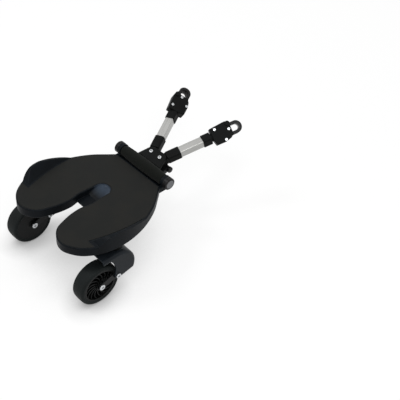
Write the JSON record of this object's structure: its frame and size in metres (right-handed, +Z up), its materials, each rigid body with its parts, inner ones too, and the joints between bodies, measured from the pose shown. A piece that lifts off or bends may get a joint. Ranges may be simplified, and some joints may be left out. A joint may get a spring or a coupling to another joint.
{
  "type": "buggy board",
  "caption": "Standing board on sprung swivel castors with a slotted, heart-shaped deck, a grip bar and hinged, splayed arms ending in strap loops, to tow behind a pushchair.",
  "frame": {"origin": "middle of the part's bounding rectangle on the ground, between the wheels and the strap loops", "axes": "+Y forward along the arms towards the pushchair, the longest way; +X to the board's right; +Z up from the ground"},
  "size_m": [0.3722, 0.6346, 0.3019],
  "materials": {
    "deck_plastic": "satin moulded",
    "tread_rubber": "matt",
    "foam": "matt foam",
    "black_nylon": "satin",
    "cap_plastic": "satin",
    "grey_plastic": "satin",
    "black_steel": "satin black",
    "zinc_steel": "bright zinc",
    "tube_aluminium": "anodised",
    "strap_rubber": "gloss",
    "fork_plastic": "satin",
    "tyre_rubber": "matt",
    "rim_plastic": "satin"
  },
  "bodies": {
    "deck": {"deck_shell": "deck_plastic", "deck_tread": "tread_rubber", "deck_underside": "deck_plastic", "underside_screws": "zinc_steel", "handle_bar": "black_steel", "handle_grip": "foam", "handle_cap_right": "cap_plastic", "handle_disc_right": "grey_plastic", "castor_housing_right": "black_nylon", "handle_cap_left": "cap_plastic", "handle_disc_left": "grey_plastic", "castor_housing_left": "black_nylon", "hinge_bracket": "black_steel", "hinge_pin": "black_steel"},
    "hub": {"hub_upper": "black_nylon", "hub_lower": "black_nylon", "hub_screws": "zinc_steel"},
    "arm_right": {"arm_sleeve_right": "black_nylon", "arm_tube_right": "tube_aluminium", "arm_collar_right": "black_nylon"},
    "connector_right": {"swivel_bolt_right": "black_nylon", "connector_top_right": "black_nylon", "connector_base_right": "black_nylon", "connector_screws_right": "zinc_steel", "strap_loop_right": "strap_rubber"},
    "castor_right": {"castor_fork_right": "fork_plastic", "castor_stem_right": "zinc_steel", "pivot_bolts_right": "zinc_steel", "castor_spring_right": "zinc_steel"},
    "swing_right": {"swing_arm_right": "black_steel", "axle_bolt_right": "zinc_steel"},
    "wheel_right": {"wheel_tyre_right": "tyre_rubber", "wheel_rim_right": "rim_plastic"},
    "arm_left": {"arm_sleeve_left": "black_nylon", "arm_tube_left": "tube_aluminium", "arm_collar_left": "black_nylon"},
    "connector_left": {"swivel_bolt_left": "black_nylon", "connector_top_left": "black_nylon", "connector_base_left": "black_nylon", "connector_screws_left": "zinc_steel", "strap_loop_left": "strap_rubber"},
    "castor_left": {"castor_fork_left": "fork_plastic", "castor_stem_left": "zinc_steel", "pivot_bolts_left": "zinc_steel", "castor_spring_left": "zinc_steel"},
    "swing_left": {"swing_arm_left": "black_steel", "axle_bolt_left": "zinc_steel"},
    "wheel_left": {"wheel_tyre_left": "tyre_rubber", "wheel_rim_left": "rim_plastic"}
  },
  "joints": [
    {"name": "hub_tilt", "type": "hinge", "parent": "deck", "child": "hub", "pos_m": [0, 0.09834, 0.18893], "axis": [1, 0, 0], "range_deg": [-30, 0]},
    {"name": "arm_swing_right", "type": "hinge", "parent": "hub", "child": "arm_right", "pos_m": [0.018, 0.08708, 0.2105], "axis": [0, -0.3107, 0.9505], "range_deg": [-24.5, 14.5]},
    {"name": "connector_turn_right", "type": "hinge", "parent": "arm_right", "child": "connector_right", "pos_m": [0.07456, 0.23087, 0.2575], "axis": [0.3502, 0.8903, 0.291], "range_deg": [-90, 90]},
    {"name": "arm_swing_left", "type": "hinge", "parent": "hub", "child": "arm_left", "pos_m": [-0.018, 0.08708, 0.2105], "axis": [0, -0.3107, 0.9505], "range_deg": [-17.3, 21.7]},
    {"name": "connector_turn_left", "type": "hinge", "parent": "arm_left", "child": "connector_left", "pos_m": [-0.08188, 0.22807, 0.25658], "axis": [-0.3955, 0.873, 0.2853], "range_deg": [-90, 90]},
    {"name": "castor_swivel_right", "type": "hinge", "parent": "deck", "child": "castor_right", "pos_m": [0.1504, -0.18822, 0.1569], "axis": [0, 0, 1], "continuous": true},
    {"name": "suspension_right", "type": "hinge", "parent": "castor_right", "child": "swing_right", "pos_m": [0.1504, -0.20442, 0.0779], "axis": [1, 0, 0], "range_deg": [-10, 0], "stiffness_Nm_per_rad": 60, "springref_deg": 5.73, "deforming": ["castor_spring_right"]},
    {"name": "wheel_spin_right", "type": "hinge", "parent": "swing_right", "child": "wheel_right", "pos_m": [0.1504, -0.25432, 0.063], "axis": [1, 0, 0], "continuous": true},
    {"name": "castor_swivel_left", "type": "hinge", "parent": "deck", "child": "castor_left", "pos_m": [-0.1504, -0.18822, 0.1569], "axis": [0, 0, 1], "continuous": true},
    {"name": "suspension_left", "type": "hinge", "parent": "castor_left", "child": "swing_left", "pos_m": [-0.1504, -0.20442, 0.0779], "axis": [1, 0, 0], "range_deg": [-10, 0], "stiffness_Nm_per_rad": 60, "springref_deg": 5.73, "deforming": ["castor_spring_left"]},
    {"name": "wheel_spin_left", "type": "hinge", "parent": "swing_left", "child": "wheel_left", "pos_m": [-0.1504, -0.25432, 0.063], "axis": [1, 0, 0], "continuous": true}
  ]
}
